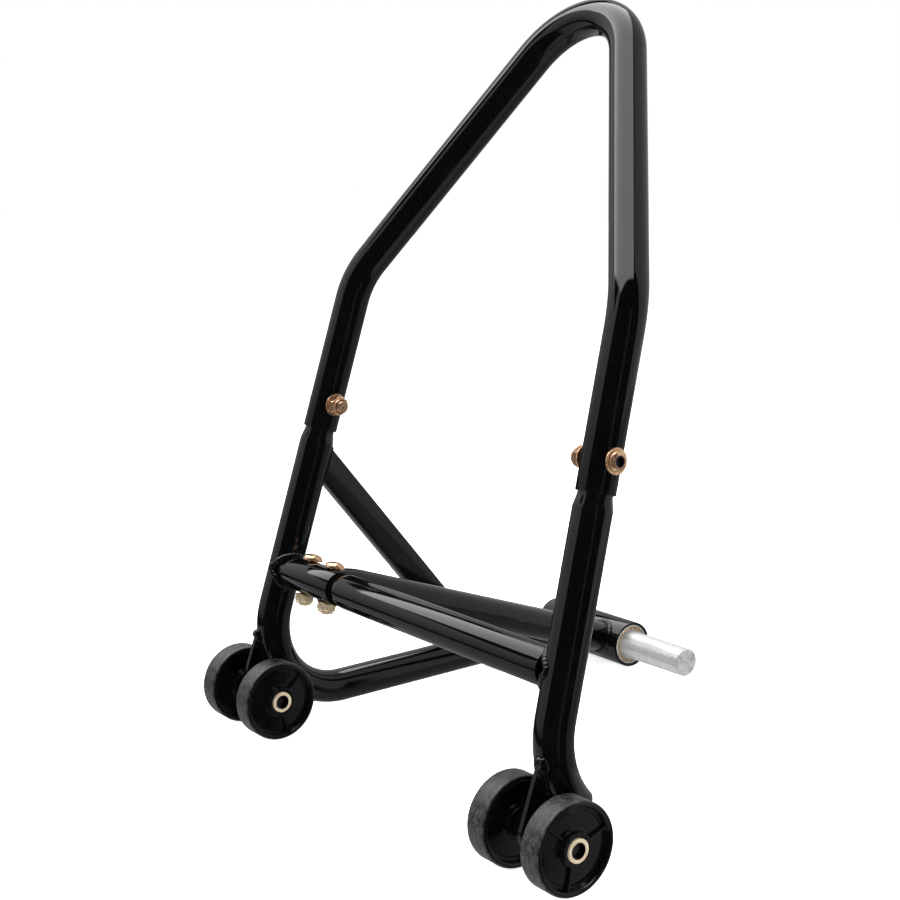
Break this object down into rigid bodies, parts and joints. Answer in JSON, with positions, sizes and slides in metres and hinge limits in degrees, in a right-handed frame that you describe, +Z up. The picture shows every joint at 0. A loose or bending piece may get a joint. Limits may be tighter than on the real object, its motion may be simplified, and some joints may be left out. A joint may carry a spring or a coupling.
{
  "type": "motorcycle paddock stand",
  "caption": "Single-sided rear paddock stand: bent tube legs on paired wheels, a bolted pull-down handle, and a long braced arm whose bearing carries a round lift pin.",
  "frame": {"origin": "centre of the stand's bounding box on the floor it rests on, below the middle between the wheel axles and the front of the bearing housing", "axes": "+Z up; +X along the wheel axles and the lift pin, the way the pin points; +Y from the wheels along the arm to the pin"},
  "size_m": [0.47, 0.4098, 0.6011],
  "materials": {
    "powder_coat": "gloss black powder coat over welded steel tube",
    "wheel_plastic": "black moulded wheel, satin faces, scuffed grey tread",
    "cap_plastic": "black push-in tube cap",
    "spacer_black": "black spacer tube",
    "yellow_zinc": "yellow zinc plated steel",
    "pale_zinc": "pale zinc plated steel",
    "machined_steel": "turned steel, satin",
    "bearing_steel": "ground bearing steel",
    "bearing_shield_gold": "thin pressed shield"
  },
  "bodies": {
    "frame": {"bearing_left_outer_race": "bearing_steel", "bearing_left_shield": "bearing_shield_gold", "bearing_right_outer_race": "bearing_steel", "bearing_right_shield": "bearing_shield_gold", "cross_bolt_1": "yellow_zinc", "cross_bolt_2": "yellow_zinc", "cross_nut_1": "pale_zinc", "cross_nut_2": "pale_zinc", "cross_tube": "powder_coat", "cross_tube_socket": "powder_coat", "diagonal_brace": "powder_coat", "handle_bolt_left": "yellow_zinc", "handle_bolt_right": "yellow_zinc", "handle_bolt_washer_right": "yellow_zinc", "handle_nut_left": "yellow_zinc", "handle_nut_right": "yellow_zinc", "handle_nut_washer_left": "yellow_zinc", "handle_nut_washer_right": "yellow_zinc", "handle_tube": "powder_coat", "left_axle_bolt": "yellow_zinc", "left_axle_sleeve": "pale_zinc", "left_axle_spacer_a": "spacer_black", "left_axle_spacer_b": "spacer_black", "left_frame_tube": "powder_coat", "left_wheel_bracket": "wheel_plastic", "pin_housing": "powder_coat", "right_axle_bolt": "yellow_zinc", "right_axle_sleeve": "pale_zinc", "right_axle_spacer_a": "spacer_black", "right_axle_spacer_b": "spacer_black", "right_foot_cap": "cap_plastic", "right_frame_tube": "powder_coat", "right_wheel_bracket": "wheel_plastic", "upper_arm_tube": "powder_coat"},
    "lift_pin_assembly": {"lift_pin": "machined_steel", "pin_retaining_ring": "bearing_steel", "pin_thrust_washer": "machined_steel", "bearing_spacer": "machined_steel", "bearing_left_inner_race": "bearing_steel", "bearing_right_inner_race": "bearing_steel"},
    "left_cage": {"bearing_left_ball_cage": "bearing_steel"},
    "right_cage": {"bearing_right_ball_cage": "bearing_steel"},
    "left_wheel_a": {"left_wheel_a": "wheel_plastic"},
    "left_wheel_b": {"left_wheel_b": "wheel_plastic"},
    "right_wheel_a": {"right_wheel_a": "wheel_plastic"},
    "right_wheel_b": {"right_wheel_b": "wheel_plastic"}
  },
  "joints": [
    {"name": "left_wheel_a_spin", "type": "hinge", "parent": "frame", "child": "left_wheel_a", "pos_m": [-0.22295, -0.17155, 0.0333], "axis": [1, 0, 0], "continuous": true},
    {"name": "left_wheel_b_spin", "type": "hinge", "parent": "frame", "child": "left_wheel_b", "pos_m": [-0.16385, -0.17155, 0.0333], "axis": [1, 0, 0], "continuous": true},
    {"name": "right_wheel_a_spin", "type": "hinge", "parent": "frame", "child": "right_wheel_a", "pos_m": [0.16385, -0.17155, 0.0333], "axis": [1, 0, 0], "continuous": true},
    {"name": "right_wheel_b_spin", "type": "hinge", "parent": "frame", "child": "right_wheel_b", "pos_m": [0.22295, -0.17155, 0.0333], "axis": [1, 0, 0], "continuous": true},
    {"name": "lift_pin_spin", "type": "hinge", "parent": "frame", "child": "lift_pin_assembly", "pos_m": [-0.114, 0.18365, 0.0212], "axis": [1, 0, 0], "continuous": true},
    {"name": "left_cage_spin", "type": "hinge", "parent": "frame", "child": "left_cage", "pos_m": [-0.2145, 0.18365, 0.0212], "axis": [1, 0, 0], "continuous": true},
    {"name": "right_cage_spin", "type": "hinge", "parent": "frame", "child": "right_cage", "pos_m": [-0.114, 0.18365, 0.0212], "axis": [1, 0, 0], "continuous": true}
  ],
  "couplings": [
    {"joint": "left_cage_spin", "follows": "lift_pin_spin", "ratio": 0.46},
    {"joint": "right_cage_spin", "follows": "lift_pin_spin", "ratio": 0.46}
  ]
}
